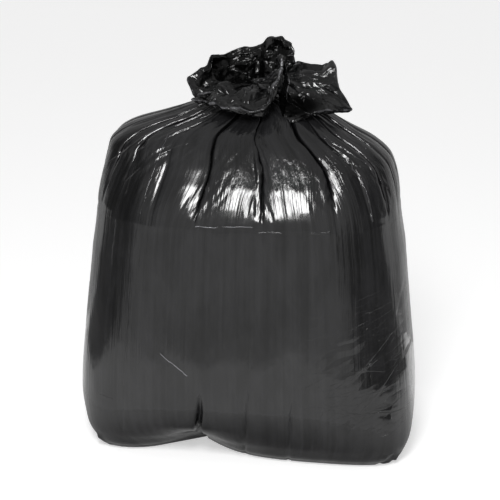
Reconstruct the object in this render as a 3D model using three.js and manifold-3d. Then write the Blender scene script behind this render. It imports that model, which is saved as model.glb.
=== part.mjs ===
// A full refuse sack of thin black polyethylene film, standing upright, with its neck gathered and
// held by a twist tie and its splayed, crumpled mouth above the tie.
// Millimetres. +Z is up, the front faces -Y, and the origin is on the floor under the middle of the sack.
import * as THREE from "three";
import { mergeVertices } from "three/addons/utils/BufferGeometryUtils.js";
import Module from "manifold-3d";

// The body: the film drawn tight round its load.
const NECK_X = 15;
const NECK_RADIUS = 17;
const NECK_BOTTOM = 572;
const NECK_TOP = 585;

// Heights of the body's sections, how far the film stands from the middle to the left, right,
// front and back, and how square the corners are: 2 is an ellipse.
const SECTIONS = [
  { z: 0, left: 233, right: 243, front: 103, back: 106, square: 7.0 },
  { z: 14, left: 246, right: 256, front: 119, back: 121, square: 6.0 },
  { z: 42, left: 260, right: 267, front: 137, back: 139, square: 4.6 },
  { z: 105, left: 269, right: 269, front: 154, back: 155, square: 3.5 },
  { z: 230, left: 257, right: 256, front: 158, back: 158, square: 3.2 },
  { z: 340, left: 243, right: 244, front: 158, back: 156, square: 3.1 },
  { z: 400, left: 234, right: 234, front: 154, back: 150, square: 3.1 },
  { z: 420, left: 231, right: 231, front: 146, back: 143, square: 3.1 },
  { z: 455, left: 224, right: 224, front: 124, back: 121, square: 3.1 },
  { z: 480, left: 218, right: 214, front: 106, back: 102, square: 3.1 },
  { z: 502, left: 206, right: 190, front: 90, back: 86, square: 3.0 },
  { z: 522, left: 172, right: 154, front: 73, back: 69, square: 2.6 },
  { z: 542, left: 122, right: 126, front: 54, back: 50, square: 2.2 },
  { z: 558, left: 76, right: 92, front: 37, back: 33, square: 2.0 },
];
const STEPS_PER_SECTION = 2;

// Pleats that run down from the neck: the place round the film as a share from the right, how far
// below the neck the pleat ends, and its depth.
const PLEATS = [
  { at: 0.01, reach: 200, depth: 13 },
  { at: 0.05, reach: 190, depth: 13 },
  { at: 0.1, reach: 190, depth: 15 },
  { at: 0.16, reach: 205, depth: 17 },
  { at: 0.225, reach: 200, depth: 18 },
  { at: 0.29, reach: 215, depth: 18 },
  { at: 0.35, reach: 200, depth: 16 },
  { at: 0.405, reach: 190, depth: 14 },
  { at: 0.45, reach: 210, depth: 13 },
  { at: 0.495, reach: 200, depth: 12 },
  { at: 0.53, reach: 250, depth: 6 },
  { at: 0.572, reach: 215, depth: 5 },
  { at: 0.6, reach: 150, depth: 6 },
  { at: 0.65, reach: 85, depth: 6 },
  { at: 0.709, reach: 228, depth: 18 },
  { at: 0.781, reach: 222, depth: 18 },
  { at: 0.862, reach: 200, depth: 18 },
  { at: 0.902, reach: 150, depth: 6 },
  { at: 0.934, reach: 250, depth: 7 },
  { at: 0.968, reach: 220, depth: 7 },
];
const PLEAT_HALF_SHARE = 0.0045;
const BETWEEN_PLEATS = 3;
const PLEATS_FADE_FROM = 545;

// The pinch at the foot of the front, where the film is drawn in and up under the load.
const PINCH = { x: -75, inward: 0.46, width: 62, height: 75, up: 11, upWidth: 48 };

// The mouth's rim: how far each point lies to the right of the neck, how far back, and its height,
// then where the film bends on its way there: the share of the way out, and the height.
const RIM = [
  [140, -15, 556, 0.45, 604],
  [124, 8, 612, 0.5, 598],
  [102, 25, 613, 0.5, 596],
  [88, 20, 604, 0.5, 594],
  [71, 38, 609, 0.5, 594],
  [56, 34, 634, 0.6, 604],
  [30, 46, 652, 0.8, 588],
  [11, 48, 652, 0.86, 584],
  [2, 52, 640, 0.86, 582],
  [-28, 52, 632, 0.86, 582],
  [-55, 44, 626, 0.86, 580],
  [-78, 26, 620, 0.84, 580],
  [-86, 10, 608, 0.78, 580],
  [-112, 0, 594, 0.7, 580],
  [-99, -22, 575, 0.65, 584],
  [-84, -34, 577, 0.6, 588],
  [-80, -54, 570, 0.6, 588],
  [-41, -75, 564, 0.6, 586],
  [-3, -82, 564, 0.62, 584],
  [26, -74, 580, 0.68, 582],
  [40, -60, 604, 0.8, 580],
  [44, -42, 628, 0.84, 582],
  [48, -28, 622, 0.8, 586],
  [56, -36, 590, 0.6, 588],
  [66, -52, 566, 0.5, 590],
  [88, -58, 556, 0.48, 592],
  [118, -40, 554, 0.45, 596],
];
const FRONT_LIP = 18;
const MOUTH_STEPS = 8;
const MOUTH_WALL = 5;
const THROAT_DEPTH = 4;

// The twist tie: a flat ribbon wound round the neck, its two ends twisted together.
const TIE_GAP = 0.4;
const TIE_THICK = 1.8;
const TIE_WIDE = 5;
const TIE_Z = 578.4;
const TAIL_LENGTH = 38;
const TAIL_TURNS = 2.5;
const TAIL_AZIMUTH = 296;
const TAIL_DROOP = 20;

const radians = THREE.MathUtils.degToRad;

// The shares round the film at which every ring has a point: each pleat's bottom and edges, and
// evenly spaced ones between.
const SHARES = PLEATS.flatMap(({ at }, k) => {
  const next = k + 1 < PLEATS.length ? PLEATS[k + 1].at : PLEATS[0].at + 1;
  const from = at + PLEAT_HALF_SHARE;
  const wide = next - PLEAT_HALF_SHARE - from;
  const between = Array.from({ length: BETWEEN_PLEATS }, (_, i) => from + (wide * i) / (BETWEEN_PLEATS - 1));
  return [at, ...between];
});
const AROUND = SHARES.length;

// How far along a line of points each one lies.
function lengthsOf(points) {
  const lengths = [0];
  for (let i = 1; i < points.length; i++) {
    lengths.push(lengths[i - 1] + points[i].distanceTo(points[i - 1]));
  }
  return lengths;
}

// The point at a distance along a line of points.
function pointAt(points, lengths, distance) {
  const i = Math.max(1, lengths.findIndex((length) => length >= distance));
  const t = (distance - lengths[i - 1]) / (lengths[i] - lengths[i - 1] || 1);
  return points[i - 1].clone().lerp(points[i], t);
}

// The body's section at a fraction of the way up the list of sections.
function sectionAt(place) {
  const last = SECTIONS.length - 1;
  const i = Math.min(Math.floor(place), last - 1);
  const t = place - i;
  const at = (k) => SECTIONS[THREE.MathUtils.clamp(k, 0, last)];
  const smooth = (key) => {
    const [a, b, c, d] = [at(i - 1), at(i), at(i + 1), at(i + 2)].map((s) => s[key]);
    return b + 0.5 * t * (c - a + t * (2 * a - 5 * b + 4 * c - d + t * (3 * (b - c) + d - a)));
  };
  return {
    z: THREE.MathUtils.lerp(at(i).z, at(i + 1).z, t),
    left: smooth("left"),
    right: smooth("right"),
    front: smooth("front"),
    back: smooth("back"),
    square: smooth("square"),
  };
}

// A smooth hill of height 1 at 0.
function hill(distance, width) {
  return Math.exp(-((distance / width) ** 2));
}

// The closed outline of a section, from the right by way of the back, with the pinch at the foot.
function outlineOf(section) {
  const { z, left, right, front, back, square } = section;
  const low = 1 - THREE.MathUtils.smoothstep(z, 0, PINCH.height);
  return Array.from({ length: 721 }, (_, i) => {
    const [c, s] = [Math.cos(radians(i / 2)), Math.sin(radians(i / 2))];
    const across = Math.abs(c / (c < 0 ? left : right)) ** square;
    const deep = Math.abs(s / (s < 0 ? front : back)) ** square;
    const radius = (across + deep) ** (-1 / square);
    const [x, y] = [radius * c, radius * s];
    if (y >= 0) return new THREE.Vector3(x, y, z);
    const inward = PINCH.inward * low * hill(x - PINCH.x, PINCH.width);
    const up = PINCH.up * low * hill(x - PINCH.x, PINCH.upWidth);
    return new THREE.Vector3(x, y * (1 - inward), z + up);
  });
}

// How far a pleat draws the film in at a distance below the neck.
function pleatDepth({ reach, depth }, belowNeck, z) {
  const fade = 1 - THREE.MathUtils.smoothstep(z, PLEATS_FADE_FROM, NECK_BOTTOM - 6);
  return depth * fade * THREE.MathUtils.smoothstep((reach - belowNeck) / (0.5 * reach), 0, 1);
}

function bodyRing(section, belowNeck) {
  const outline = outlineOf(section);
  const lengths = lengthsOf(outline);
  const middle = new THREE.Vector3(0, 0, section.z);
  return SHARES.map((share, k) => {
    const point = pointAt(outline, lengths, (share % 1) * lengths.at(-1));
    if (k % (1 + BETWEEN_PLEATS) !== 0) return point.toArray();
    const pleat = PLEATS[k / (1 + BETWEEN_PLEATS)];
    const inward = middle.clone().sub(point).setZ(0).normalize();
    return point.addScaledVector(inward, pleatDepth(pleat, belowNeck, section.z)).toArray();
  });
}

function neckRing(radius, z) {
  return SHARES.map((share) => [
    NECK_X + radius * Math.cos(2 * Math.PI * share),
    radius * Math.sin(2 * Math.PI * share),
    z,
  ]);
}

// The middle of the mouth's film as a grid of rings, from the neck up to the rim. Each column of
// points rises out of the neck, bends and runs out to its place on the rim.
function mouthGrid() {
  const rimPoints = [...RIM, RIM[0]].map(([x, y, z]) => new THREE.Vector3(NECK_X + x, y, z));
  const lengths = lengthsOf(rimPoints);
  const total = lengths.at(-1);
  const columns = SHARES.map((share) => {
    const distance = ((((share - 0.75) * total + lengths[FRONT_LIP]) % total) + total) % total;
    const rim = pointAt(rimPoints, lengths, distance);
    const i = Math.max(1, lengths.findIndex((length) => length >= distance));
    const t = (distance - lengths[i - 1]) / (lengths[i] - lengths[i - 1]);
    const [from, to] = [RIM[i - 1], RIM[i % RIM.length]];
    const out = THREE.MathUtils.lerp(from[3], to[3], t);
    const height = THREE.MathUtils.lerp(from[4], to[4], t);
    const radius = NECK_RADIUS - MOUTH_WALL / 2;
    const start = new THREE.Vector3(
      NECK_X + radius * Math.cos(2 * Math.PI * share),
      radius * Math.sin(2 * Math.PI * share),
      NECK_TOP,
    );
    const bend = new THREE.Vector3(NECK_X + (rim.x - NECK_X) * out, rim.y * out, height);
    return new THREE.CubicBezierCurve3(start, bend, bend.clone(), rim);
  });
  const steps = [0.02, ...Array.from({ length: MOUTH_STEPS }, (_, i) => (i + 1) / MOUTH_STEPS)];
  return steps.map((t) => columns.map((column) => column.getPointAt(t)));
}

// One face of the mouth's wall: the grid moved half a wall's thickness out (1) or in (-1).
function mouthFace(grid, side) {
  return grid.map((row, i) =>
    row.map((point, k) => {
      const across = row[(k + 1) % AROUND].clone().sub(row[(k + AROUND - 1) % AROUND]);
      const above = grid[Math.min(i + 1, grid.length - 1)][k];
      const up = above.clone().sub(grid[Math.max(i - 1, 0)][k]);
      const out = across.cross(up).normalize();
      return point.clone().addScaledVector(out, (side * MOUTH_WALL) / 2).toArray();
    }),
  );
}

// A closed surface through a stack of rings, closed at each end by a fan to one point.
function skinOf(rings, firstPoint, lastPoint) {
  const points = [firstPoint, ...rings.flat(), lastPoint];
  const at = (row, k) => 1 + row * AROUND + (k % AROUND);
  const last = points.length - 1;
  const index = [];
  for (let k = 0; k < AROUND; k++) {
    index.push(0, at(0, k + 1), at(0, k));
    for (let row = 0; row < rings.length - 1; row++) {
      index.push(at(row, k), at(row, k + 1), at(row + 1, k + 1));
      index.push(at(row, k), at(row + 1, k + 1), at(row + 1, k));
    }
    index.push(last, at(rings.length - 1, k), at(rings.length - 1, k + 1));
  }
  const geometry = new THREE.BufferGeometry();
  geometry.setAttribute("position", new THREE.Float32BufferAttribute(points.flat(), 3));
  geometry.setIndex(index);
  geometry.computeVertexNormals();
  return geometry;
}

// The sack is one sheet of film welded shut at the foot: a filled body up to the neck, and above
// the tie a single wall that flares out, turns over at the rim and comes back down to the throat.
function sackGeometry() {
  const places = (SECTIONS.length - 1) * STEPS_PER_SECTION;
  const sections = Array.from({ length: places + 1 }, (_, i) => sectionAt(i / STEPS_PER_SECTION));
  const rise = lengthsOf([
    ...sections.map(({ z, front }) => new THREE.Vector3(0, front, z)),
    new THREE.Vector3(0, NECK_RADIUS, NECK_BOTTOM),
  ]);
  const body = sections.map((section, i) => bodyRing(section, rise.at(-1) - rise[i]));
  const neck = [neckRing(34, NECK_BOTTOM - 6), neckRing(NECK_RADIUS, NECK_BOTTOM)];
  const grid = mouthGrid();
  return skinOf(
    [...body, ...neck, ...mouthFace(grid, 1), ...mouthFace(grid, -1).reverse()],
    [0, 0, 0],
    [NECK_X, 0, NECK_TOP - THROAT_DEPTH],
  );
}

// manifold-3d joins the tie's loop and tail into one solid.
const wasm = await Module();
wasm.setup();

function solidOf(geometry) {
  const bare = geometry.clone();
  bare.deleteAttribute("normal");
  bare.deleteAttribute("uv");
  const merged = mergeVertices(bare, 1e-4);
  return new wasm.Manifold(
    new wasm.Mesh({
      numProp: 3,
      vertProperties: new Float32Array(merged.attributes.position.array),
      triVerts: new Uint32Array(merged.index.array),
    }),
  );
}

function geometryOf(solid) {
  const mesh = solid.getMesh();
  const geometry = new THREE.BufferGeometry();
  geometry.setAttribute("position", new THREE.BufferAttribute(mesh.vertProperties, 3));
  geometry.setIndex(new THREE.BufferAttribute(mesh.triVerts, 1));
  geometry.computeVertexNormals();
  return geometry;
}

// The loop of the tie, a flat band round the neck.
function tieLoop() {
  const inner = NECK_RADIUS + TIE_GAP;
  const outer = inner + TIE_THICK;
  const profile = [
    new THREE.Vector2(inner, -TIE_WIDE / 2),
    new THREE.Vector2(outer, -TIE_WIDE / 2),
    new THREE.Vector2(outer, TIE_WIDE / 2),
    new THREE.Vector2(inner, TIE_WIDE / 2),
    new THREE.Vector2(inner, -TIE_WIDE / 2),
  ];
  return new THREE.LatheGeometry(profile, 40).rotateX(Math.PI / 2);
}

// The two ends of the tie, twisted together into one short tail that points away from the neck.
function tieTail() {
  const geometry = new THREE.BoxGeometry(TAIL_LENGTH, TIE_WIDE * 0.9, TIE_THICK * 1.5, 30, 1, 1);
  const position = geometry.attributes.position;
  for (let i = 0; i < position.count; i++) {
    const along = position.getX(i) / TAIL_LENGTH + 0.5;
    const point = new THREE.Vector3().fromBufferAttribute(position, i);
    point.applyAxisAngle(new THREE.Vector3(1, 0, 0), along * TAIL_TURNS * Math.PI);
    position.setXYZ(i, point.x, point.y, point.z);
  }
  return geometry
    .translate(TAIL_LENGTH / 2 + NECK_RADIUS + TIE_GAP + TIE_THICK / 2, 0, 0)
    .rotateY(radians(TAIL_DROOP))
    .translate(0, 0, (NECK_RADIUS + TIE_THICK) * Math.sin(radians(TAIL_DROOP)))
    .rotateZ(radians(TAIL_AZIMUTH));
}

const film = new THREE.MeshStandardMaterial({ color: 0x0b0b0c, roughness: 0.3, metalness: 0 });
const ribbon = new THREE.MeshStandardMaterial({ color: 0x101011, roughness: 0.45, metalness: 0 });

const sack = new THREE.Mesh(sackGeometry(), film);
sack.name = "sack";

const tie = new THREE.Mesh(geometryOf(solidOf(tieLoop()).add(solidOf(tieTail()))), ribbon);
tie.name = "twist_tie";
tie.position.set(NECK_X, 0, TIE_Z);

const binBag = new THREE.Group();
binBag.add(sack, tie);

export default binBag;
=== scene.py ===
import bpy
import numpy as np
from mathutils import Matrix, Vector


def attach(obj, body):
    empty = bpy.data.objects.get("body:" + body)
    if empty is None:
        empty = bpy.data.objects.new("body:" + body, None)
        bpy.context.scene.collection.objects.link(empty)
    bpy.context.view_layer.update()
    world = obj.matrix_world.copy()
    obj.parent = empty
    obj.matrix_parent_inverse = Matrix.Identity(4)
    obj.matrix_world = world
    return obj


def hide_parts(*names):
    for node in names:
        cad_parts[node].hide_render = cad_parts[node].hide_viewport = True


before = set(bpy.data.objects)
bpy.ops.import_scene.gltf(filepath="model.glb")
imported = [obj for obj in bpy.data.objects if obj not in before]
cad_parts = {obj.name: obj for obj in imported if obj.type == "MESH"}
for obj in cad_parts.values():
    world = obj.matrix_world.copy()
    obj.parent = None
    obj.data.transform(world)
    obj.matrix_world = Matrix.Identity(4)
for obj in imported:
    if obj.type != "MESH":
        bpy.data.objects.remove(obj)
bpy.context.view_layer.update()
bpy.ops.object.select_all(action="DESELECT")
scene = bpy.context.scene
MM = 0.001

# ---------------------------------------------------------------------------------------------
# The load: soft household rubbish that fills the sack, never seen. It is a lofted form of the
# film's own outline, and it holds the film out while the film settles round it.
FLAT_ROUND = 1474.0
# Each section is a height, then how far the film stands to the left, right, front and back, and
# how square the corners are: 2 is an ellipse.
SECTIONS = np.array(
    [
        (0, 233, 243, 103, 106, 7.0),
        (14, 246, 256, 119, 121, 6.0),
        (42, 260, 267, 137, 139, 4.6),
        (105, 269, 269, 154, 155, 3.5),
        (230, 257, 256, 158, 158, 3.2),
        (340, 243, 244, 158, 156, 3.1),
        (400, 234, 234, 154, 150, 3.1),
        (420, 231, 231, 146, 143, 3.1),
        (455, 224, 224, 124, 121, 3.1),
        (480, 218, 214, 106, 102, 3.1),
        (502, 211, 190, 90, 86, 3.0),
        (522, 183, 156, 73, 69, 2.6),
        (542, 122, 126, 54, 50, 2.2),
        (558, 76, 92, 37, 33, 2.0),
        (572, 2, 32, 17, 17, 2.0),
    ],
    float,
)
COLUMNS = 320
NECK_X = 15.0
# The pinch at the foot of the front, left of the middle, where the film is drawn in by a share of
# its depth and up off the floor. Each goes so far up the film, is so wide, and is so square.
PINCH_X = -75.0
PINCH_IN = 0.46
PINCH_IN_TALL, PINCH_IN_WIDE, PINCH_IN_SQUARE = 75.0, 62.0, 1.3
PINCH_UP = 11.0
PINCH_UP_TALL, PINCH_UP_WIDE, PINCH_UP_SQUARE = 70.0, 48.0, 1.4

share = np.arange(COLUMNS) / COLUMNS
turn = 2 * np.pi * share


def eased(t):
    """A smooth step from 0 to 1."""
    t = np.clip(t, 0, 1)
    return t * t * (3 - 2 * t)


def along(table, place):
    """Smooth values between the rows of a table, at fractional row places."""
    last = len(table) - 1
    i = np.clip(np.floor(place).astype(int), 0, last - 1)
    t = (place - i)[:, None]
    a, b, c, d = (table[np.clip(i + k, 0, last)] for k in (-1, 0, 1, 2))
    return b + 0.5 * t * (c - a + t * (2 * a - 5 * b + 4 * c - d + t * (3 * (b - c) + d - a)))


def lengths(points):
    """How far along a line of points each one lies."""
    steps = np.linalg.norm(np.diff(points, axis=0), axis=1)
    return np.concatenate([[0], np.cumsum(steps)])


def spread(points, line, at):
    """Points at the given distances along a line whose own points lie at the distances line."""
    return np.stack([np.interp(at, line, points[:, k]) for k in range(3)], 1)


def section_line(section):
    """The closed outline of one section of the load, with the pinch at the foot."""
    z, left, right, front, back, square = section
    around = np.linspace(0, 2 * np.pi, 3001)
    c, s = np.cos(around), np.sin(around)
    wide = np.where(c < 0, left, right)
    deep = np.where(s < 0, front, back)
    reach = (np.abs(c / wide) ** square + np.abs(s / deep) ** square) ** (-1 / square)
    x, y = reach * c, reach * s
    gone = np.abs(x - PINCH_X)
    drawn = np.exp(-((gone / PINCH_IN_WIDE) ** PINCH_IN_SQUARE)) * eased(1 - z / PINCH_IN_TALL)
    y = np.where(y < 0, y * (1 - PINCH_IN * drawn), y)
    lift = np.exp(-((gone / PINCH_UP_WIDE) ** PINCH_UP_SQUARE)) * (y < 0)
    lift = lift * np.clip(1 - z / PINCH_UP_TALL, 0, 1)
    return np.stack([x, y, z + PINCH_UP * lift], 1)


def normals(grid):
    """The outward normals of a grid of rings."""
    across = np.roll(grid, -1, 1) - np.roll(grid, 1, 1)
    up = np.gradient(grid, axis=0)
    out = np.cross(across, up)
    return out / (np.linalg.norm(out, axis=2, keepdims=True) + 1e-9)


def rings_mesh(name, grid, first=None, last=None):
    """A mesh through a grid of rings, closed at an end by a fan to a point where one is given."""
    rows, around = grid.shape[:2]
    ids = np.arange(rows * around).reshape(rows, around)
    nxt = np.roll(ids, -1, 1)
    quads = np.stack([ids[:-1], nxt[:-1], nxt[1:], ids[1:]], 2).reshape(-1, 4)
    faces = quads.tolist()
    points = grid.reshape(-1, 3).tolist()
    if first is not None:
        faces += [(len(points), b, a) for a, b in zip(ids[0].tolist(), nxt[0].tolist())]
        points.append(list(first))
    if last is not None:
        faces += [(len(points), a, b) for a, b in zip(ids[-1].tolist(), nxt[-1].tolist())]
        points.append(list(last))
    mesh = bpy.data.meshes.new(name)
    mesh.from_pydata(points, [], faces)
    mesh.update()
    piece = bpy.data.objects.new(name, mesh)
    scene.collection.objects.link(piece)
    return piece


up_sections = np.linspace(0, len(SECTIONS) - 1, 1201)
fine = along(SECTIONS, up_sections)
fine[:, 0] = np.interp(up_sections, np.arange(len(SECTIONS)), SECTIONS[:, 0])
rise = lengths(fine[:, [0, 3]])
# The film's rings lie close together at the neck, where the pleats are, and wider at the foot.
RING_GAP = ([0, 60, 260, 400], [4.5, 5.5, 6.5, 8.5])
below = [0.0]
while below[-1] < rise[-1]:
    below.append(below[-1] + np.interp(below[-1], *RING_GAP))
below = np.array(below) * rise[-1] / below[-1]
from_neck = below[::-1]
sections = np.stack([np.interp(rise[-1] - from_neck, rise, fine[:, k]) for k in range(6)], 1)
outlines = [section_line(section) for section in sections]
outline_rounds = [lengths(outline) for outline in outlines]
smooth_body = np.stack(
    [spread(outline, line, share * line[-1]) for outline, line in zip(outlines, outline_rounds)]
)
smooth_normals = normals(smooth_body)

# How far the load stands inside the film, by how far below the neck, and how much of the height it
# fills. It needs only every second ring and column.
LOAD_CLEAR = ([0, 60, 110, 160, 200, 232, 1000], [10, 22, 26, 20, 13, 5, 3.5])
LOAD_FILLS = 0.97
clear = np.interp(from_neck, *LOAD_CLEAR)
load_grid = smooth_body - smooth_normals * clear[:, None, None]
load_grid = load_grid[: int(len(sections) * LOAD_FILLS) : 2, ::2]
load = rings_mesh("load", load_grid * MM, load_grid[0].mean(0) * MM, load_grid[-1].mean(0) * MM)
load.modifiers.new("holds the film out", "COLLISION")
load.collision.thickness_outer = 0.002
load.collision.cloth_friction = 2
load.collision.damping = 0.5

# ---------------------------------------------------------------------------------------------
# The body of the sack: a tube of black polyethylene film a few hundredths of a millimetre thick,
# welded flat at the foot and gathered at the neck. What is too wide for the dome lies in deep
# pleats with puffed petals between them. The film is laid out so, and then settles as cloth.
# Each pleat is its place round the film, how far below the neck it ends, its depth, and how far
# it leans to the right half way down, as a share of the way round.
PLEATS = np.array(
    [
        (0.010, 200, 13, 0),
        (0.050, 190, 13, 0),
        (0.100, 190, 15, 0),
        (0.160, 205, 17, 0),
        (0.225, 200, 18, 0),
        (0.290, 215, 18, 0),
        (0.350, 200, 16, 0),
        (0.405, 190, 14, 0),
        (0.450, 210, 13, 0),
        (0.495, 200, 12, 0),
        (0.530, 250, 6, 0),
        (0.572, 215, 5, 0),
        (0.600, 150, 6, 0),
        (0.650, 85, 6, 0.006),
        (0.700, 228, 20, 0.018),
        (0.778, 222, 20, 0.003),
        (0.862, 200, 20, 0.002),
        (0.902, 150, 6, 0),
        (0.934, 250, 7, 0),
        (0.968, 220, 7, 0),
    ]
)
pleat_at, pleat_reach, pleat_depth, pleat_lean = PLEATS.T
# Half of a pleat's opening, by how far it has run from the neck to its end, for a pleat of the
# usual depth, and the most of the film's round that the openings take up.
PLEAT_GAP = ([0, 0.12, 0.3, 0.6, 1], [1.2, 2.8, 2.6, 1.1, 0.6])
USUAL_DEPTH = 20.0
GAPS_MOST = 0.16
# The most that a pleat goes in near the neck, by how far below the neck.
DEPTH_MOST = ([0, 40, 90], [12.5, 16, 30])
# A petal stands out by a share of its width, up to a width, between these two distances below the
# neck, and comes and goes over the next two.
PETAL_PUFF = 0.055
PETAL_WIDE = 60.0
PUFF_FROM, PUFF_TO, PUFF_COMES, PUFF_GOES = 30.0, 240.0, 90.0, 80.0
# Cloth settings. The load is firm, so the film is held near where it is laid, and the share that
# it settles from there is less than half.
BODY_FIRM = 0.3
SETTLES = 0.45
SETTLE_STEPS = 10
SHAKE = 0.03
TAUT, SHEAR, BENDING, DAMPED = 60, 20, 0.02, 10
AIR_DRAG = 2
PUFF = 3.0
FILM_WEIGHT = 0.3
# The film keeps off itself only between these distances below the neck.
APART_FROM, APART_TO = 16, 330

deep = np.stack(
    [
        depth * eased((reach - from_neck) / (0.5 * reach))
        for reach, depth in zip(pleat_reach, pleat_depth)
    ],
    1,
)
deep = np.minimum(deep, np.interp(from_neck, *DEPTH_MOST)[:, None])
petal_ends = np.roll(pleat_at, -1) + (np.arange(len(PLEATS)) == len(PLEATS) - 1)
petal_share = petal_ends - pleat_at


def pleated_ring(row):
    """One ring of the film: petals on the outline, puffed, with a narrow pleat between each two."""
    outline, line = outlines[row], outline_rounds[row]
    round_ = line[-1]
    run = from_neck[row] / pleat_reach
    gaps = np.interp(run, *PLEAT_GAP) * pleat_depth / USUAL_DEPTH
    gaps = np.minimum(gaps, GAPS_MOST * round_ / len(PLEATS))
    at, inward, bottoms = [], [], []
    puffed = eased((from_neck[row] - PUFF_FROM) / PUFF_COMES)
    puffed = puffed * eased((PUFF_TO - from_neck[row]) / PUFF_GOES)
    leaning = pleat_at + pleat_lean * np.sin(np.pi * np.clip(run, 0, 1) ** 0.4)
    for k, place in enumerate(leaning * round_):
        gap, next_gap = gaps[k], gaps[(k + 1) % len(PLEATS)]
        for t in np.linspace(0, 1, 5):
            at.append(place - gap * (1 - 0.5 * t))
            inward.append(deep[row, k] * t)
        bottoms.append(len(at))
        at.append(place)
        inward.append(deep[row, k] + 0.6 * gap * min(1, deep[row, k] / 4))
        for t in np.linspace(1, 0, 5):
            at.append(place + gap * (1 - 0.5 * t))
            inward.append(deep[row, k] * t)
        wide = petal_share[k] * round_ - gap - next_gap
        for t in np.linspace(0, 1, 16)[1:-1]:
            at.append(place + gap + wide * t)
            inward.append(-PETAL_PUFF * puffed * min(wide, PETAL_WIDE) * np.sin(np.pi * t) ** 0.8)
    at = np.array(at) % round_
    column = at / round_ * COLUMNS
    looped = np.vstack([smooth_normals[row], smooth_normals[row][:1]])
    out = np.stack([np.interp(column, np.arange(COLUMNS + 1), looped[:, k]) for k in range(3)], 1)
    points = spread(outline, line, at) - out * np.array(inward)[:, None]
    points = np.vstack([points, points[:1]])
    along_ring = lengths(points)
    floors = along_ring[bottoms]
    wanted = np.where(share < pleat_at[0], share + 1, share)
    at_film = np.interp(
        wanted, np.append(pleat_at, pleat_at[0] + 1), np.append(floors, floors[0] + along_ring[-1])
    )
    return spread(points, along_ring, at_film % along_ring[-1]), along_ring[-1]


laid = [pleated_ring(row) for row in range(len(sections))]
body_laid = np.stack([ring for ring, _ in laid])
ring_length = np.array([length for _, length in laid])

up_film = np.concatenate(
    [np.zeros((1, COLUMNS)), np.cumsum(np.linalg.norm(np.diff(smooth_body, axis=0), axis=2), 0)]
)
# The film before it is gathered is a plain tube, with each ring as long round as it is when laid.
tube_radius = (ring_length / (2 * np.pi))[:, None]
body_flat = np.stack([tube_radius * np.cos(turn), tube_radius * np.sin(turn), up_film], 2)
shake = np.random.default_rng(3).normal(0, SHAKE, body_laid.shape)
body_start = body_laid + shake * np.interp(from_neck, [0, 20], [0, 1])[:, None, None]


def settled(flat, start, hold, apart):
    """Lets the film settle as cloth from how it is laid, and gives its points.

    flat is the film before it was gathered, which gives its true lengths, and start is how it is
    laid. hold says how firmly each point is held, and apart is true where layers keep apart.
    """
    film = rings_mesh("settling_film", flat * MM)
    unrolled = film.shape_key_add(name="unrolled")
    laid_out = film.shape_key_add(name="laid out")
    laid_out.data.foreach_set("co", (start * MM).astype(np.float32).reshape(-1))
    laid_out.value = 1
    held = film.vertex_groups.new(name="held")
    for firmness in np.unique(hold):
        held.add(np.flatnonzero(hold.reshape(-1) == firmness).tolist(), float(firmness), "REPLACE")
    free = film.vertex_groups.new(name="free")
    free.add(np.flatnonzero(~apart.reshape(-1)).tolist(), 1, "REPLACE")
    cloth = film.modifiers.new("settles", "CLOTH")
    stuff = cloth.settings
    stuff.quality = 6
    stuff.mass = 0.1
    stuff.air_damping = AIR_DRAG
    stuff.tension_stiffness = TAUT
    stuff.compression_stiffness = TAUT
    stuff.shear_stiffness = SHEAR
    stuff.bending_stiffness = BENDING
    stuff.tension_damping = DAMPED
    stuff.compression_damping = DAMPED
    stuff.shear_damping = DAMPED
    stuff.bending_damping = 0.5
    stuff.vertex_group_mass = "held"
    stuff.pin_stiffness = 1
    stuff.rest_shape_key = unrolled
    stuff.use_pressure = True
    stuff.uniform_pressure_force = PUFF
    stuff.effector_weights.gravity = FILM_WEIGHT
    touch = cloth.collision_settings
    touch.use_collision = True
    touch.distance_min = 0.002
    touch.collision_quality = 2
    touch.use_self_collision = True
    touch.self_distance_min = 0.0015
    touch.self_friction = 3
    touch.vertex_group_self_collisions = "free"
    cloth.point_cache.frame_start = 1
    cloth.point_cache.frame_end = SETTLE_STEPS + 2
    for step in range(1, SETTLE_STEPS + 1):
        scene.frame_set(step)
    shown = film.evaluated_get(bpy.context.evaluated_depsgraph_get())
    points = np.zeros(flat.size, np.float32)
    shown.data.vertices.foreach_get("co", points)
    scene.frame_set(1)
    bpy.data.objects.remove(film)
    return points.reshape(flat.shape).astype(float) / MM


body_hold = np.full(body_laid.shape[:2], BODY_FIRM)
body_hold[[0, -1]] = 1
body_apart = (from_neck > APART_FROM) & (from_neck < APART_TO)
body_apart = np.repeat(body_apart[:, None], COLUMNS, 1)
body = settled(body_flat, body_start, body_hold, body_apart)
body = body_start + SETTLES * (body - body_start)
bpy.data.objects.remove(load)

# ---------------------------------------------------------------------------------------------
# The mouth: the same film above the tie. It stands up out of the neck in a tight star of folds,
# opens into a bowl to the front and a lobe to the right, and turns over and hangs at the edge.
NECK_RISE = 12.0
FINER = 2


def finer(grid, times):
    """The grid with its rings and columns each divided into times steps, along smooth curves."""
    rows, around = grid.shape[:2]
    up = np.linspace(0, rows - 1, (rows - 1) * times + 1)
    tall = along(grid.reshape(rows, -1), up).reshape(len(up), around, -1)
    wrapped = np.concatenate([tall[:, -3:], tall, tall[:, :3]], 1)
    flipped = wrapped.transpose(1, 0, 2).reshape(around + 6, -1)
    across = 3 + np.arange(around * times) / times
    wide = along(flipped, across)
    return wide.reshape(len(across), len(up), -1).transpose(1, 0, 2)


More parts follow.
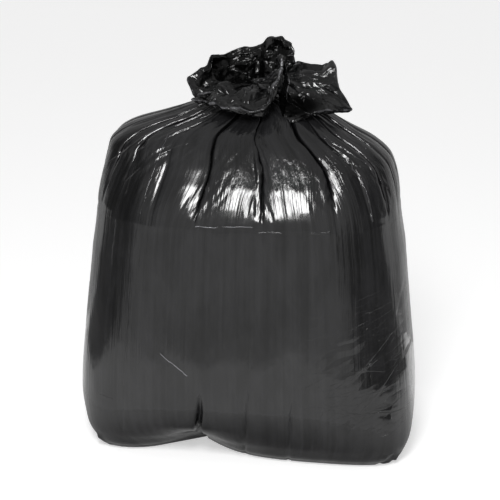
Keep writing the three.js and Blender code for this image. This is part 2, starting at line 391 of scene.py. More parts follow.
# Each point of the rim is how far it lies to the right of the neck, how far back, and its height,
# and then where the film bends on its way there: the share of the way out, and the height.
RIM = np.array(
    [
        (140, -15, 556, 0.45, 604),
        (117, -3, 584, 0.50, 600),
        (110, 8, 611, 0.50, 598),
        (102, 25, 613, 0.50, 596),
        (88, 20, 604, 0.50, 594),
        (71, 38, 609, 0.50, 594),
        (55, 22, 612, 0.50, 598),
        (56, 34, 632, 0.60, 604),
        (30, 46, 648, 0.85, 584),
        (11, 48, 648, 0.90, 580),
        (2, 52, 636, 0.92, 578),
        (-28, 52, 630, 0.94, 576),
        (-55, 44, 624, 0.94, 574),
        (-78, 26, 618, 0.92, 574),
        (-80, 10, 607, 0.85, 574),
        (-112, 0, 594, 0.72, 576),
        (-99, -15, 573, 0.65, 580),
        (-62, -20, 583, 0.60, 590),
        (-88, -50, 569, 0.60, 590),
        (-41, -75, 563, 0.60, 586),
        (-3, -82, 564, 0.62, 584),
        (26, -74, 580, 0.68, 582),
        (40, -60, 604, 0.85, 574),
        (42, -40, 630, 0.92, 574),
        (36, -22, 640, 0.95, 580),
        (42, -18, 606, 0.50, 592),
        (46, -48, 574, 0.50, 582),
        (82, -58, 556, 0.50, 588),
        (118, -40, 554, 0.45, 598),
    ],
    float,
)
LIP, RIGHT_LIP, LOBE_FRONT = 20, 23, 26
LEFT_PETAL, LOBE_TOP, LOBE = 16, 2, 28
MOUTH_ROWS = 96
AROUND = COLUMNS * FINER
mouth_share = np.arange(AROUND) / AROUND
mouth_turn = 2 * np.pi * mouth_share

# The edge is a chain of straight runs with soft corners, as creased film has.
RIM_POINTS, SOFTENED = 4200, 24
places = np.linspace(0, len(RIM), RIM_POINTS + 1)[:-1]
closed_rim = np.vstack([RIM, RIM[:1]])
rim_line = np.stack([np.interp(places, np.arange(len(RIM) + 1), c) for c in closed_rim.T], 1)
softer = np.hanning(2 * SOFTENED + 1)
softer /= softer.sum()
wrapped_rim = np.concatenate([rim_line[-SOFTENED:], rim_line, rim_line[:SOFTENED]])
rim_line = np.stack([np.convolve(c, softer, "valid") for c in wrapped_rim.T], 1)
rim_line = np.vstack([rim_line, rim_line[:1]])
rim_round = lengths(rim_line[:, :3])
lip_at = rim_round[np.argmin(np.linalg.norm(rim_line[:, :3] - RIM[LIP, :3], axis=1))]
on_rim = ((mouth_share - 0.75) * rim_round[-1] + lip_at) % rim_round[-1]
rim = spread(rim_line, rim_round, on_rim)
bend_share, bend_height = (np.interp(on_rim, rim_round, rim_line[:, k]) for k in (3, 4))

to_neck = np.array([NECK_X, 0, 0])
neck_ring = finer(body[-4:], FINER)[-1] - to_neck
mouth_foot = neck_ring + np.array([0, 0, NECK_RISE])
outward = rim * np.array([1, 1, 0])
outward /= np.linalg.norm(outward, axis=1, keepdims=True)


def near_rim(point, width):
    """1 at one of the rim's points, fading to 0 round the mouth."""
    at = rim_round[np.argmin(np.linalg.norm(rim_line[:, :3] - RIM[point, :3], axis=1))]
    gone = (mouth_share - 0.75) - (at - lip_at) / rim_round[-1]
    return np.exp(-((((gone + 0.5) % 1 - 0.5) / width) ** 2))


# The film turns over its edge and hangs furthest along the front lip of the bowl and under the
# lobe. As it hangs it goes back in by a share of its length and down by another.
TURN_OVER = 3.0
HANG_BACK = 0.4
STAR_RISE = 3.0
front_lip = near_rim(LIP + 1, 0.085)
hang = 7 + 14 * front_lip + 26 * near_rim(LOBE_FRONT, 0.035)
drop = 0.45 + 0.6 * near_rim(LOBE_FRONT, 0.05)
crown = rim * np.array([1, 1, 0]) * bend_share[:, None]
crown[:, 2] = bend_height
start_up = mouth_foot + np.array([0, 0, STAR_RISE])

paths, edges = [], []
for k in range(AROUND):
    t = np.linspace(0, 1, 60)[:, None]
    rising = (1 - t) ** 3 * start_up[k] + 3 * t * (1 - t) * crown[k] + t**3 * rim[k]
    bend = np.linspace(0, np.pi, 12)[1:, None]
    radius = TURN_OVER * (0.4 + 0.6 * front_lip[k])
    over = rim[k] + radius * (outward[k] * np.sin(bend) + [0, 0, -1] * (1 - np.cos(bend)))
    fall = np.linspace(0, hang[k], 8)[1:, None]
    fallen = over[-1] + fall * (-HANG_BACK * outward[k] + np.array([0, 0, -drop[k]]))
    path = np.vstack([mouth_foot[k], rising, over, fallen])
    line = lengths(path)
    paths.append(spread(path, line, np.linspace(0, line[-1], MOUTH_ROWS)))
    edges.append(np.linspace(0, line[-1], MOUTH_ROWS) - line[len(rising)])
mouth_laid = np.stack(paths, 1)
past_edge = np.stack(edges, 1)


def gathers(seed, count, low, high, slant):
    """Straight sharp folds that run up the film and cross, each stronger here and weaker there.

    low and high are the fewest and the most folds round the mouth, and slant is how many a fold
    crosses on its way up.
    """
    draw = np.random.default_rng(seed)
    up = np.linspace(0, 1, MOUTH_ROWS)[:, None]
    total = np.zeros((MOUTH_ROWS, AROUND))
    for _ in range(count):
        folds, climb = draw.integers(low, high), draw.uniform(-slant, slant)
        bend = 0.12 * np.sin(mouth_turn * draw.integers(2, 7) + draw.random() * 7 + 3 * up)
        phase = folds * mouth_share + climb * up + draw.random() + bend
        ridge = 4 * np.abs(phase % 1 - 0.5) - 1
        fades = 0.55 + 0.45 * np.sin(mouth_turn * draw.integers(2, 6) + draw.random() * 7 + 4 * up)
        total += ridge * fades * 10 / folds
    return total


def facets(seed, around, tall, skew):
    """Crumpled film: flat facets that meet at creases, as pushes in three directions from -1 to 1.

    The facets are the triangles of a net of around by tall meshes, which is pulled out of true.
    """
    draw = np.random.default_rng(seed)
    push = draw.uniform(-1, 1, (tall + 4, around, 3))
    pull = draw.uniform(-skew, skew, (4, 7))
    up = np.linspace(0, 1, MOUTH_ROWS)[:, None]
    waves = [
        np.sin(mouth_turn * (k + 2) + 9 * pull[2, k] + (4 + 5 * pull[3, k]) * up) for k in range(7)
    ]
    x = mouth_share * around + sum(pull[0, k] * waves[k] for k in range(7))
    y = up * tall + 1 + sum(pull[1, k] * waves[k] for k in range(7))
    y = np.clip(y, 0, tall + 2.99)
    i, j = np.floor(x).astype(int), np.floor(y).astype(int)
    s, t = (x - i)[..., None], (y - j)[..., None]
    left, right = i % around, (i + 1) % around
    low_left, low_right = push[j, left], push[j, right]
    top_left, top_right = push[j + 1, left], push[j + 1, right]
    # Every second mesh of the net is cut from its low left corner, and the others from the right.
    cut_from_left = np.where(
        s > t,
        (1 - s) * low_left + (s - t) * low_right + t * top_right,
        (1 - t) * low_left + (t - s) * top_left + s * top_right,
    )
    cut_from_right = np.where(
        s + t < 1,
        (1 - s - t) * low_left + s * low_right + t * top_left,
        (s + t - 1) * top_right + (1 - s) * top_left + (1 - t) * low_right,
    )
    return np.where(((i + j) % 2 == 0)[..., None], cut_from_left, cut_from_right)


climb = np.linspace(0, 1, MOUTH_ROWS)
# How deep the folds and the three sizes of facet are, by the share of the way up the film.
FOLD_DEPTH = ([0, 0.12, 0.35, 0.7], [0, 6, 5, 1.5])
CLIMB = [0, 0.15, 0.45, 1]
LARGE, MIDDLING, SMALL = [0, 1.5, 6.5, 7], [0, 1.0, 3.6, 3.8], [0, 0.5, 1.4, 1.6]
folds = gathers(1, 3, 16, 26, 1.0) * np.interp(climb, *FOLD_DEPTH)[:, None]
# The lobe and the petals at the left are smoother than the bowl.
busy = 1 - 0.65 * near_rim(LOBE, 0.09) - 0.65 * near_rim(LOBE_TOP, 0.05)
busy = np.clip(busy - 0.6 * near_rim(LEFT_PETAL, 0.05), 0, 1)
crumple = facets(11, 17, 4, 0.25) * np.interp(climb, CLIMB, LARGE)[:, None, None]
crumple += facets(12, 37, 8, 0.35) * (np.interp(climb, CLIMB, MIDDLING)[:, None] * busy)[..., None]
crumple += facets(13, 76, 17, 0.5) * (np.interp(climb, CLIMB, SMALL)[:, None] * busy)[..., None]
mouth = mouth_laid + normals(mouth_laid) * folds[..., None] + crumple + to_neck
mouth_up = np.cumsum(np.linalg.norm(np.diff(mouth_laid, axis=0), axis=2), 0).mean(1)

# ---------------------------------------------------------------------------------------------
# The whole film as one closed skin: the flattened foot, the body, the neck under the tie, the
# mouth's outer face, its edge, and the face inside the mouth down to the throat.
FILM_WALL = 0.7
FOOT_RINGS = 5
NECK_STEPS = 8

body_fine = finer(body, FINER)
up_neck = NECK_RISE * np.arange(1, NECK_STEPS) / NECK_STEPS
neck = np.stack([neck_ring + to_neck + [0, 0, up] for up in up_neck])
body_up = finer(up_film[..., None], FINER)[..., 0]
neck_up = body_up[-1:] + up_neck[:, None]
above_tie = body_up[-1:] + NECK_RISE + np.append(0, mouth_up)[:, None]
film_up = np.concatenate([body_up, neck_up, above_tie])

# Creases in the front of the film: each is how deep it is, how wide, whether it is a fold that goes
# in (0) or a step with a raised side (1), and a line of places to the right and up the front.
CREASES = [
    (15, 3.6, 0, [(-55, 150), (-57, 100), (-66, 45), (-70, -60)]),
    (2.6, 3.0, 0, [(19, 148), (14, 79), (7, 31), (5, -10)]),
    (2.6, 3.0, 0, [(85, 151), (83, 98), (77, 23), (75, -20)]),
    (0.8, 3.0, 1, [(-176, 113), (-184, 42), (-186, 0)]),
    (0.9, 3.4, 1, [(-223, 107), (-199, 107)]),
    (0.8, 3.6, 1, [(143, 159), (175, 168), (212, 197)]),
    (0.7, 3.4, 1, [(150, 152), (190, 184), (231, 233)]),
    (0.8, 3.8, 1, [(168, 112), (215, 108), (259, 102)]),
    (0.7, 3.4, 1, [(190, 114), (214, 140), (236, 174)]),
    (0.6, 3.4, 1, [(174, 182), (223, 176)]),
    (0.6, 3.4, 1, [(180, 136), (238, 150)]),
    (0.6, 3.6, 1, [(196, 90), (240, 70)]),
    (0.6, 3.4, 1, [(205, 215), (236, 258), (246, 310)]),
    (0.5, 3.0, 1, [(222, 200), (240, 236)]),
    (0.9, 3.8, 1, [(-58, 403), (-15, 405), (24, 406)]),
    (0.5, 3.8, 1, [(35, 400), (80, 402), (135, 401)]),
    (1.6, 2.6, 0, [(15, 497), (24, 470), (29, 440), (30, 413)]),
    (1.2, 3.0, 1, [(104, 530), (145, 510), (182, 487), (224, 439)]),
    (1.0, 3.0, 1, [(141, 530), (180, 503), (217, 473)]),
    (1.2, 3.0, 1, [(-50, 549), (-113, 534), (-153, 514), (-212, 468)]),
    (0.8, 3.0, 1, [(-60, 520), (-130, 492), (-190, 440)]),
    (3.0, 4.0, 1, [(-243, 34), (-228, 12), (-214, -8)]),
    (3.0, 4.0, 1, [(-232, 30), (-240, 4)]),
    (3.0, 4.0, 1, [(252, 26), (236, 8), (214, -8)]),
    (2.4, 3.6, 1, [(236, 24), (246, 0)]),
]


FACES_FRONT = -0.12
STEP_SIDE = 1.6


def creased(grid):
    """The front of the grid with its creases pressed in, each tapered at its two ends."""
    out = normals(grid)
    front = out[..., 1] < FACES_FRONT
    inward = np.zeros(grid.shape[:2])
    for depth, width, stepped, line in CREASES:
        line = np.array(line, float)
        run = lengths(line)
        nearest = np.full(inward.shape, 1e9)
        side, at = np.zeros(inward.shape), np.zeros(inward.shape)
        for (x0, z0), (x1, z1), begin, end in zip(line[:-1], line[1:], run[:-1], run[1:]):
            dx, dz, size = x1 - x0, z1 - z0, end - begin
            x, z = grid[..., 0] - x0, grid[..., 2] - z0
            t = np.clip((x * dx + z * dz) / size**2, 0, 1)
            gone = np.hypot(x - t * dx, z - t * dz)
            closer = gone < nearest
            nearest = np.where(closer, gone, nearest)
            side = np.where(closer, np.sign(x * dz - z * dx) * gone, side)
            at = np.where(closer, begin + t * size, at)
        taper = eased(at / (0.4 * run[-1])) * eased((run[-1] - at) / (0.2 * run[-1]) + 0.02)
        shape = np.exp(-((nearest / width) ** 2))
        if stepped:
            shape = shape * side / width * STEP_SIDE
        inward += depth * taper * shape * front
    return grid - out * inward[..., None]


skin = np.concatenate([creased(body_fine), neck, mouth])
skin[..., 2] = np.maximum(skin[..., 2], 0)
mouth_from = len(body_fine) + len(neck)
# The inner face shows only in the mouth, so it starts two rings up from the mouth's own foot.
inner_from = mouth_from + 2
inner_wall = skin[inner_from:] - normals(skin)[inner_from:] * FILM_WALL
foot = skin[0]
middle = np.array([foot[:, 0].mean(), foot[:, 1].mean(), 0.0])
foot_rings = []
for t in np.linspace(0, 1, FOOT_RINGS + 2)[1:-1]:
    ring = middle + (foot - middle) * t
    ring[:, 2] = foot[:, 2] * t**2
    foot_rings.append(ring)
all_rings = np.concatenate([np.stack(foot_rings), skin, inner_wall[::-1]])
throat = inner_wall[0].mean(0)
bag = rings_mesh("bag_film", all_rings * MM, middle * MM, throat * MM)
bag.data.shade_smooth()


def over_all(rows):
    """Values of the skin's rows carried on to the foot's rings and to the mouth's inner face."""
    return np.concatenate([np.repeat(rows[:1], FOOT_RINGS, 0), rows, rows[inner_from:][::-1]])


def kept_on_film(name, values, kind="FLOAT", field="value"):
    """Keeps a value at each point of the film, for the finish to read."""
    kept = bag.data.attributes.new(name, kind, "POINT")
    kept.data.foreach_set(field, values.astype(np.float32).reshape(-1))


# Where each point lies on the film before it is gathered, as a place on a plain tube, so that the
# finish's streaks run up the film and through its pleats. The last two points close the ends.
ENDS = [0, 0]
lay_share = over_all(np.repeat(mouth_share[None], len(skin), 0)).reshape(-1)
lay_turn = 2 * np.pi * lay_share
lay_up = over_all(film_up).reshape(-1)
flat_radius = FLAT_ROUND / (2 * np.pi)
lay = np.stack([flat_radius * np.cos(lay_turn), flat_radius * np.sin(lay_turn), lay_up], 1)
lay = np.vstack([lay, [0, 0, 0], [0, 0, lay_up.max()]])
kept_on_film("film_place", lay * MM, "FLOAT_VECTOR", "vector")

above_neck = lay[:, 2] - up_film[-1].mean()
in_mouth = np.clip((above_neck - 10) / 30, 0, 1)
kept_on_film("crumpled", in_mouth)

# Painted shade: the pockets that get next to no light are painted dark: the bowl's floor over the
# throat, the foot of its back wall, and the one under the lobe. Each is a centre, its size in three
# directions, and how dark.
POCKETS = [
    ((-8, 4, 592), (46, 34, 24), 1.0),
    ((-6, 30, 606), (74, 36, 30), 0.6),
    ((70, -34, 562), (44, 40, 17), 1.0),
]
painted_shade = np.zeros(all_rings.size // 3)
for centre, size, dark in POCKETS:
    gone = np.linalg.norm((all_rings.reshape(-1, 3) - centre) / np.array(size, float), axis=1)
    painted_shade = np.maximum(painted_shade, dark * eased((1.25 - gone) / 0.6))
kept_on_film("painted_shade", np.append(painted_shade, ENDS) * in_mouth)

# Painted highlight: the film's edge is painted pale, as a lit edge shows, above all along the
# right of the bowl's lip.
EDGE_AT, EDGE_WIDE = 1.5, 1.2
gleam = np.exp(-(((past_edge - EDGE_AT) / EDGE_WIDE) ** 2)) * (0.8 + 3.0 * near_rim(RIGHT_LIP, 0.02))
painted_edge_highlight = over_all(np.concatenate([np.zeros((mouth_from, AROUND)), gleam]))
kept_on_film("edge", np.append(painted_edge_highlight, ENDS))

# The dome's film is finely wrinkled, most at the right of its middle and least on the left shoulder.
in_dome = eased((-above_neck - 70) / 70) * eased((235 + above_neck) / 50)
right_of_middle = eased((lay_share - 0.772) / 0.02) * eased((0.95 - lay_share) / 0.03)
left_shoulder = eased((lay_share - 0.48) / 0.05) * eased((0.70 - lay_share) / 0.01)
in_dome *= 1 + np.append(0.35 * right_of_middle - 0.92 * left_shoulder, ENDS)
kept_on_film("wrinkled", in_dome)


class Socket:
    """One output of a node. Python's operators on it add Math nodes."""

    def __init__(self, finish, socket):
        self.finish = finish
        self.socket = socket

    def also(self, output):
        """Another output of the same node."""
        return Socket(self.finish, self.socket.node.outputs[output])

    def worked(self, operation, *others):
        return self.finish.maths(operation, self, *others)

    def __add__(self, other):
        return self.worked("ADD", other)

    def __sub__(self, other):
        return self.worked("SUBTRACT", other)

    def __mul__(self, other):
        return self.worked("MULTIPLY", other)

    def __rsub__(self, other):
        return self.finish.maths("SUBTRACT", other, self)

    __radd__ = __add__
    __rmul__ = __mul__

    def held(self):
        """The value held between 0 and 1."""
        return self.finish.node("ShaderNodeClamp", {}, {"Value": self})

    def clamped(self, low, high):
        """0 at low, 1 at high, and smooth between."""
        return self.finish.node(
            "ShaderNodeMapRange",
            {"interpolation_type": "SMOOTHSTEP"},
            {"Value": self, "From Min": low, "From Max": high},
        )


class Finish:
    """A material, or the room's light, whose nodes are added one call at a time."""

    def __init__(self, name, made=None):
        self.made = made or bpy.data.materials.new(name)
        self.made.use_nodes = True
        self.nodes = self.made.node_tree.nodes
        self.link = self.made.node_tree.links.new
        self.shader = self.nodes.get("Principled BSDF")

    def fill(self, node, values):
        for key, value in values.items():
            if isinstance(value, Socket):
                self.link(value.socket, node.inputs[key])
            else:
                node.inputs[key].default_value = value

    def node(self, kind, settings, values, output=0):
        added = self.nodes.new(kind)
        for key, value in settings.items():
            setattr(added, key, value)
        self.fill(added, values)
        return Socket(self, added.outputs[output])

    def maths(self, operation, *values):
        return self.node("ShaderNodeMath", {"operation": operation}, dict(enumerate(values)))

    def vectors(self, operation, first, second, output=0):
        return self.node(
            "ShaderNodeVectorMath", {"operation": operation}, {0: first, 1: second}, output
        )

    def scaled(self, vector, x, y, z):
        return self.vectors("MULTIPLY", vector, (x, y, z))

    def place(self, output="Object"):
        return self.node("ShaderNodeTexCoord", {}, {}, output)

    def kept(self, name, output="Fac"):
        """A value that is kept at each point of the mesh."""
        return self.node("ShaderNodeAttribute", {"attribute_name": name}, {}, output)

    def noise(self, vector, scale, detail=2.0, rough=0.5, distort=0.0):
        values = {"Vector": vector, "Scale": scale, "Detail": detail}
        values.update({"Roughness": rough, "Distortion": distort})
        return self.node("ShaderNodeTexNoise", {}, values)

    def set(self, **values):
        self.fill(self.shader, {key.replace("_", " "): value for key, value in values.items()})


# The film: near-black and glossy, with streaks and bands up its length from how it is blown, soft
# dents where the load presses, and scuffs. Heights are in steps of 0.6 mm.
HEIGHT_STEP = 0.0006
STREAKS_HIGH, BANDS_HIGH, DENTS_HIGH = 1.1, 4.0, 7.0
WRINKLES_HIGH, WRINKLES_IN_DOME = 0.10, 0.85
FINE_HIGH, FINE_IN_DOME, FINE_IN_MOUTH = 0.03, 0.40, 0.04
FACETS_HIGH, DRAWN_HIGH, CRUSHED_HIGH, HAIRS_HIGH = 640, 300, 650, 1.5
DARKEST, WORN_LIGHTER, MOUTH_SHADE, BLUER = 0.0028, 0.0105, 0.0022, 1.06
# The pale creases are partly whitened film and partly painted highlight, the pale edge is painted
# highlight, and the pockets are painted shade.
HAIR_PALE_AND_HIGHLIGHT, EDGE_HIGHLIGHT = 0.20, 0.13
POCKET_PAINTED_SHADE, POCKET_PAINTED_BLACK = 0.9, 0.93

film = Finish("black_film")
film_place = film.kept("film_place", "Vector")
is_mouth = film.kept("crumpled")
in_painted_shade = film.kept("painted_shade")
edge_highlight = film.kept("edge")
is_wrinkled = film.kept("wrinkled")
streaks = film.noise(film.scaled(film_place, 150, 150, 2.2), 1.0, 3.0, 0.6)
fine_streaks = film.noise(film.scaled(film_place, 420, 420, 3.5), 1.0, 2.0, 0.6)
bands = film.noise(film.scaled(film_place, 26, 26, 1.1), 1.0, 1.0, 0.5)
dents = film.noise(film.scaled(film_place, 11, 11, 7), 1.0, 2.0, 0.45)
wander = film.noise(film.scaled(film_place, 14, 14, 6), 1.0, 2.0)
wrinkles = film.noise(film.scaled(film_place, 140, 140, 38), 1.0, 3.0, 0.55, 1.1)
fine_wrinkles = film.noise(film.scaled(film_place, 380, 380, 120), 1.0, 2.0, 0.5, 0.8)
scuffs = film.noise(film.scaled(film_place, 60, 60, 18), 1.0, 4.0, 0.65)
patches = film.noise(film.scaled(film_place, 17, 17, 9), 1.0, 4.0, 0.6, 0.6)

# Places on the front, in millimetres to the right and up.
on_bag = film.place()
bag_x = film.node("ShaderNodeSeparateXYZ", {}, {"Vector": on_bag}, "X")
in_front = bag_x.also("Y").clamped(-0.01, -0.03)
WAVER = 9
waver = (film.noise(on_bag, 35, 3.0) - 0.5) * WAVER
right = bag_x * 1000 + waver
up = bag_x.also("Z") * 1000 + waver

# Creases as thin as a hair, in the front: how strong each is, and places to the right and up. A
# crease below 0 goes in and stays dark, and the others stand up and are painted pale where they
# are strong, partly as creased film whitens and partly as a painted highlight.
HAIR_CREASES = [
    (1.0, [(-116, 198), (-96, 182), (-75, 165)]),
    (0.9, [(-60, 403), (-12, 405)]),
    (0.8, [(-12, 405), (26, 408)]),
    (0.3, [(35, 400), (137, 401)]),
    (0.5, [(-114, 520), (-135, 458), (-144, 417)]),
    (0.25, [(-144, 417), (-157, 345), (-177, 134)]),
    (0.25, [(-160, 470), (-184, 400), (-193, 330)]),
    (0.5, [(120, 520), (160, 490), (186, 452), (196, 410)]),
    (0.26, [(143, 159), (175, 168), (212, 197)]),
    (0.26, [(150, 152), (190, 184), (231, 233)]),
    (0.3, [(168, 112), (215, 108), (259, 102)]),
    (0.24, [(190, 114), (214, 140), (236, 174)]),
    (0.24, [(174, 182), (223, 176)]),
    (0.22, [(180, 136), (238, 150)]),
    (0.24, [(-176, 113), (-184, 42)]),
    (0.3, [(-223, 107), (-199, 107)]),
    (0.32, [(-50, 549), (-113, 534), (-153, 514), (-212, 468)]),
    (0.28, [(-60, 520), (-130, 492), (-190, 440)]),
    (0.34, [(104, 530), (145, 510), (182, 487), (224, 439)]),
    (0.3, [(141, 530), (180, 503), (217, 473)]),
    (-0.5, [(19, 148), (14, 79), (7, 20)]),
    (-0.5, [(85, 151), (83, 98), (77, 20)]),
]
HAIR_REACH = 1.078


def hair_crease(strength, line):
    """One hair crease: its strength along its line, and 0 a hair's width beside it."""
    total = 0
    for (x0, z0), (x1, z1) in zip(line[:-1], line[1:]):
        dx, dz = x1 - x0, z1 - z0
        size = dx * dx + dz * dz
        x, z = right - x0, up - z0
        t = (x * (dx / size) + z * (dz / size)).held()
        off_x, off_z = x - t * dx, z - t * dz
        total = total + (off_x * off_x + off_z * off_z).clamped(HAIR_REACH, 0.0)
    return total * strength


hairs = sum(hair_crease(*crease) for crease in HAIR_CREASES) * in_front
hairs = hairs * film.noise(on_bag, 32, 2.0).clamped(0.28, 0.55)


def flats(vector, scale):
    """The height of small flat facets, each tilted its own way, that meet at sharp creases."""
    centre = film.node("ShaderNodeTexVoronoi", {}, {"Vector": vector, "Scale": scale}, "Position")
    tilt = film.vectors("SUBTRACT", centre.also("Color"), (0.5, 0.5, 0.5))
    return film.vectors("DOT_PRODUCT", tilt, film.vectors("SUBTRACT", vector, centre), "Value")


narrowed = film.scaled(film_place, 0.6, 0.6, 1)
facets_high = flats(narrowed, 60) + flats(narrowed, 150) * 0.4

# The film is drawn into long slanting facets at the lower right, and crushed at the foot's corners.
SLANT = np.radians(27)
DRAWN_LONG, DRAWN_NARROW = 0.0004, 0.001
drawn_place = film.node(
    "ShaderNodeCombineXYZ",
    {},
    {
        "X": right * (DRAWN_LONG * np.cos(SLANT)) + up * (DRAWN_LONG * np.sin(SLANT)),
        "Z": up * (DRAWN_NARROW * np.cos(SLANT)) - right * (DRAWN_NARROW * np.sin(SLANT)),
    },
)
lower_right = right.clamped(95, 200) * up.clamped(320, 215) * up.clamped(30, 90) * in_front
drawn = (flats(drawn_place, 38) + flats(drawn_place, 85) * 0.6) * lower_right
foot_corner = right.worked("ABSOLUTE").clamped(205, 245) * up.clamped(46, 18)
crushed = (flats(on_bag, 75) + flats(on_bag, 160) * 0.7) * foot_corner

height = (
    streaks * STREAKS_HIGH
    + bands * BANDS_HIGH
    + dents * DENTS_HIGH
    + wrinkles * (WRINKLES_HIGH + WRINKLES_IN_DOME * is_wrinkled) * (0.3 + wander.clamped(0.3, 0.7))
    + fine_wrinkles * (FINE_HIGH + FINE_IN_DOME * is_wrinkled + FINE_IN_MOUTH * is_mouth)
    + facets_high * is_mouth * FACETS_HIGH
    + hairs * HAIRS_HIGH
    + drawn * DRAWN_HIGH
    + crushed * CRUSHED_HIGH
)
bump = film.node("ShaderNodeBump", {}, {"Strength": 1.0, "Distance": HEIGHT_STEP, "Height": height})

worn = streaks * 0.35 + fine_streaks * 0.22 + scuffs * 0.3 + bands * 0.25 + patches * 0.45
# The film's colour: its random wear, with painted highlights and painted shade added after.
wear_and_painted_light = (DARKEST + WORN_LIGHTER * worn.clamped(0.62, 0.95)) * (1 - is_mouth)
# The pale hair creases are partly whitened film and partly painted highlight.
wear_and_painted_light = wear_and_painted_light + MOUTH_SHADE * is_mouth + HAIR_PALE_AND_HIGHLIGHT * hairs.clamped(0.22, 1.2)
# Painted highlight along the film's edge.
wear_and_painted_light = wear_and_painted_light + EDGE_HIGHLIGHT * edge_highlight * scuffs.clamped(0.38, 0.6)
# Painted shade: the pockets are painted darker.
wear_and_painted_light = wear_and_painted_light * (1 - POCKET_PAINTED_SHADE * in_painted_shade)
film.set(
    Base_Color=film.node("ShaderNodeCombineColor", {}, {0: wear_and_painted_light, 1: wear_and_painted_light, 2: wear_and_painted_light * BLUER}),
    Roughness=0.09 + streaks * 0.05 + scuffs * 0.06 - 0.05 * is_mouth,
    Normal=bump,
    IOR=1.5,
)
# Painted shade: in the pockets the film is painted nearly black.
painted_black = film.node("ShaderNodeBsdfDiffuse", {}, {"Color": (0.001, 0.001, 0.001, 1)})
shown_film = Socket(film, film.shader.outputs["BSDF"])
shown_film = film.node(
    "ShaderNodeMixShader", {}, {0: in_painted_shade * POCKET_PAINTED_BLACK, 1: shown_film, 2: painted_black}
)
film.fill(film.nodes["Material Output"], {"Surface": shown_film})
bag.data.materials.append(film.made)
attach(bag, "root")
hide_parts("sack")

# ---------------------------------------------------------------------------------------------
# The twist tie: a black plastic ribbon with a wire along its middle, wound round the neck under
# the mouth. Its two ends are twisted together into a short tail that points to the front.
TIE_PLACE = (0.015, 0, 0.5784)
LOOP_RADIUS = 0.0179
RIBBON_WIDE = 0.0046
RIBBON_THICK = 0.0006
WIRE_RISE = 0.0005
RIB_WIDE = 0.0006
STRANDS_APART = 0.0004
TAIL_LONG = 0.038
TAIL_FROM = 0.0183
TAIL_TURNS = 2.5
TAIL_WAY = np.radians(296)
TAIL_DROOP = np.radians(20)
TAIL_LEVEL = 0.0188


def finished(ribbon):
    """Gives a ribbon its thickness and applies its place and its modifiers."""
    bpy.ops.object.select_all(action="DESELECT")
    ribbon.select_set(True)
    bpy.context.view_layer.objects.active = ribbon
    wall = ribbon.modifiers.new("thickness", "SOLIDIFY")
    wall.thickness = RIBBON_THICK
    wall.offset = 0
    for modifier in [m.name for m in ribbon.modifiers]:
        bpy.ops.object.modifier_apply(modifier=modifier)
    bpy.ops.object.transform_apply(location=True, rotation=True, scale=True)


bpy.ops.mesh.primitive_cylinder_add(
    vertices=96, radius=LOOP_RADIUS, depth=RIBBON_WIDE, end_fill_type="NOTHING"
)
tie = bpy.context.object
tie.name = "neck_tie"
bpy.ops.object.mode_set(mode="EDIT")
bpy.ops.mesh.select_all(action="SELECT")
bpy.ops.mesh.subdivide(number_cuts=7)
bpy.ops.object.mode_set(mode="OBJECT")
for vertex in tie.data.vertices:
    rib = 1 + WIRE_RISE / LOOP_RADIUS * np.exp(-((vertex.co.z / RIB_WIDE) ** 2))
    vertex.co.x *= rib
    vertex.co.y *= rib
tie.location = TIE_PLACE
finished(tie)

strands = []
for face in (1, -1):
    bpy.ops.mesh.primitive_grid_add(x_subdivisions=90, y_subdivisions=12, size=1)
    strand = bpy.context.object
    for vertex in strand.data.vertices:
        across = vertex.co.y * RIBBON_WIDE
        rise = STRANDS_APART + WIRE_RISE * np.exp(-((across / RIB_WIDE) ** 2))
        vertex.co = (vertex.co.x * TAIL_LONG, across * face, rise * face)
    twist = strand.modifiers.new("twist", "SIMPLE_DEFORM")
    twist.deform_method = "TWIST"
    twist.deform_axis = "X"
    twist.angle = np.pi * TAIL_TURNS
    finished(strand)
    strand.location = (TAIL_FROM + TAIL_LONG / 2, 0, 0)
    bpy.ops.object.transform_apply(location=True)
    strand.rotation_euler = (0, TAIL_DROOP, TAIL_WAY)
    strand.location = Vector(TIE_PLACE) + Vector((0, 0, TAIL_LEVEL * np.sin(TAIL_DROOP)))
    bpy.ops.object.transform_apply(location=True, rotation=True)
    strands.append(strand)
for strand in strands:
    strand.select_set(True)
tie.select_set(True)
bpy.context.view_layer.objects.active = tie
bpy.ops.object.join()
bpy.ops.object.shade_smooth()

ribbon = Finish("tie_plastic")
grain = ribbon.noise(ribbon.scaled(ribbon.place(), 900, 900, 900), 1.0)
ribbon.set(Base_Color=(0.016, 0.016, 0.017, 1), Roughness=0.4 + grain * 0.15)
tie.data.materials.append(ribbon.made)
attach(tie, "root")
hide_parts("twist_tie")

# ---------------------------------------------------------------------------------------------
# The floor and the lights: a plain pale floor, a soft lamp above the front, and an even room that is
# darker at its sides, behind and overhead. Flat cards that lie on the floor show only as
# reflections in the film: a bright one in front, and darker ones to the sides and behind.
FLOOR_WIDE = 14
bpy.ops.mesh.primitive_plane_add(size=FLOOR_WIDE)
floor = bpy.context.object
floor.name = "floor"
pale = Finish("pale_floor")
pale.set(Base_Color=(0.86, 0.86, 0.86, 1), Roughness=0.9)
pale.set(Emission_Color=(1, 1, 1, 1), Emission_Strength=0.49)
floor.data.materials.append(pale.made)

CARD_HIGH = 0.002


def card(name, corners, glow):
    """Lays a card on the floor and gives its finish. Its glow is a little uneven, as a room's is."""
    flat = bpy.data.objects.new(name, bpy.data.meshes.new(name))
    flat.data.from_pydata([(x, y, CARD_HIGH) for x, y in corners], [], [range(len(corners))])
    scene.collection.objects.link(flat)
    paper = Finish(name)
    uneven = paper.noise(paper.scaled(paper.place(), 16, 1.2, 1), 1.0, 3.0, 0.6)
    paper.set(Base_Color=(0, 0, 0, 1), Roughness=1, Specular_IOR_Level=0)
    paper.set(Emission_Color=0.8 + 0.4 * uneven, Emission_Strength=glow)
    flat.data.materials.append(paper.made)
    flat.visible_camera = flat.visible_diffuse = flat.visible_shadow = False
    return paper


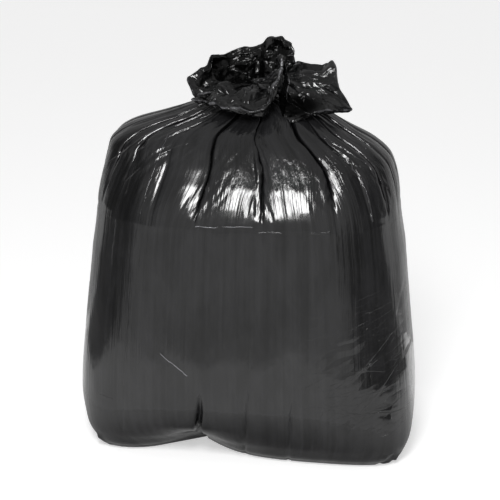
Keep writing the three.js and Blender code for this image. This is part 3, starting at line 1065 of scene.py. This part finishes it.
NEAR_LEFT, NEAR_RIGHT = (-0.70, -0.53), (0.47, -0.53)
FAR_LEFT, FAR_RIGHT = (-7.4, -6.0), (4.2, -6.0)
card("front_card", [NEAR_LEFT, FAR_LEFT, FAR_RIGHT, NEAR_RIGHT], 0.80)
card("left_card", [NEAR_LEFT, (-0.62, 0.3), (-8.4, 0.3), FAR_LEFT], 0.22)
card("right_card", [NEAR_RIGHT, FAR_RIGHT, (8.4, -6.0), (8.4, 0.3), (0.62, 0.3)], 0.22)
card("back_card", [(-7.0, 6.0), (-1.2, 0.4), (1.2, 0.4), (7.0, 6.0)], 0.5)

# The floor close round the foot, which the sack itself shades.
SHADE_WIDE, SHADE_DEEP = 0.43, 0.27
round_foot = np.linspace(0, 2 * np.pi, 49)[:-1]
oval = [(SHADE_WIDE * np.cos(t), SHADE_DEEP * np.sin(t)) for t in round_foot]
shaded = card("foot_shade", oval, 0.95)
from_foot = shaded.scaled(shaded.place(), 1 / SHADE_WIDE, 1 / SHADE_DEEP, 0)
from_foot = shaded.vectors("LENGTH", from_foot, (0, 0, 0), "Value")
shaded.set(Emission_Color=0.30 + 0.70 * from_foot.clamped(0.56, 0.98))


def aimed(kit, place, at):
    """Stands a camera or a lamp at a place, aimed at a point."""
    stand = bpy.data.objects.new(kit.name, kit)
    scene.collection.objects.link(stand)
    stand.location = place
    stand.rotation_euler = (Vector(at) - Vector(place)).to_track_quat("-Z", "Y").to_euler()
    return stand


DOME = (0.0, -0.05, 0.45)
LAMP_PLACE = (0.02, -1.5, 1.64)
lamp = bpy.data.lights.new("soft_lamp", "AREA")
lamp.shape = "RECTANGLE"
lamp.size, lamp.size_y = 0.46, 0.5
lamp.energy = 25
aimed(lamp, LAMP_PLACE, DOME)

world = bpy.data.worlds.new("room")
scene.world = world
room = Finish("room", world)
across = room.node("ShaderNodeSeparateXYZ", {}, {"Vector": room.place("Generated")}, "X")
side = across.worked("ABSOLUTE")
back = across.also("Y")
high = across.also("Z")
sides_dark = side.clamped(0.45, 0.80) * (1 - back.clamped(0.2, 0.55))
glow = (0.72 - 0.30 * back.clamped(0.35, 0.9)) * (1 - 0.8 * sides_dark)
glow = glow * (1 - 0.35 * high.clamped(0.35, 0.85))
seen = room.node("ShaderNodeLightPath", {}, {}, "Is Camera Ray")
strength = glow * (1 - seen) + 0.97 * seen
room.fill(room.nodes["Background"], {"Color": (1, 1, 1, 1), "Strength": strength})
scene.view_settings.view_transform = "Standard"

# The camera stands a little to the right of the sack's front and looks down on it, with a long
# lens from two metres away.
CAMERA_TURN = 8.0
CAMERA_RISE = 20.0
CAMERA_REACH = 2.05
CAMERA_AIM = Vector((0, 0, 0.316))
CAMERA_LENS = 93


def direction(turn, rise):
    """The direction from the sack to a stand that is turned from its front and raised, in degrees."""
    turn, rise = np.radians(turn), np.radians(rise)
    return Vector((np.sin(turn) * np.cos(rise), -np.cos(turn) * np.cos(rise), np.sin(rise)))


camera = bpy.data.cameras.new("camera")
camera.lens = CAMERA_LENS
camera.sensor_width = 36
scene.camera = aimed(
    camera, CAMERA_AIM + CAMERA_REACH * direction(CAMERA_TURN, CAMERA_RISE), CAMERA_AIM
)
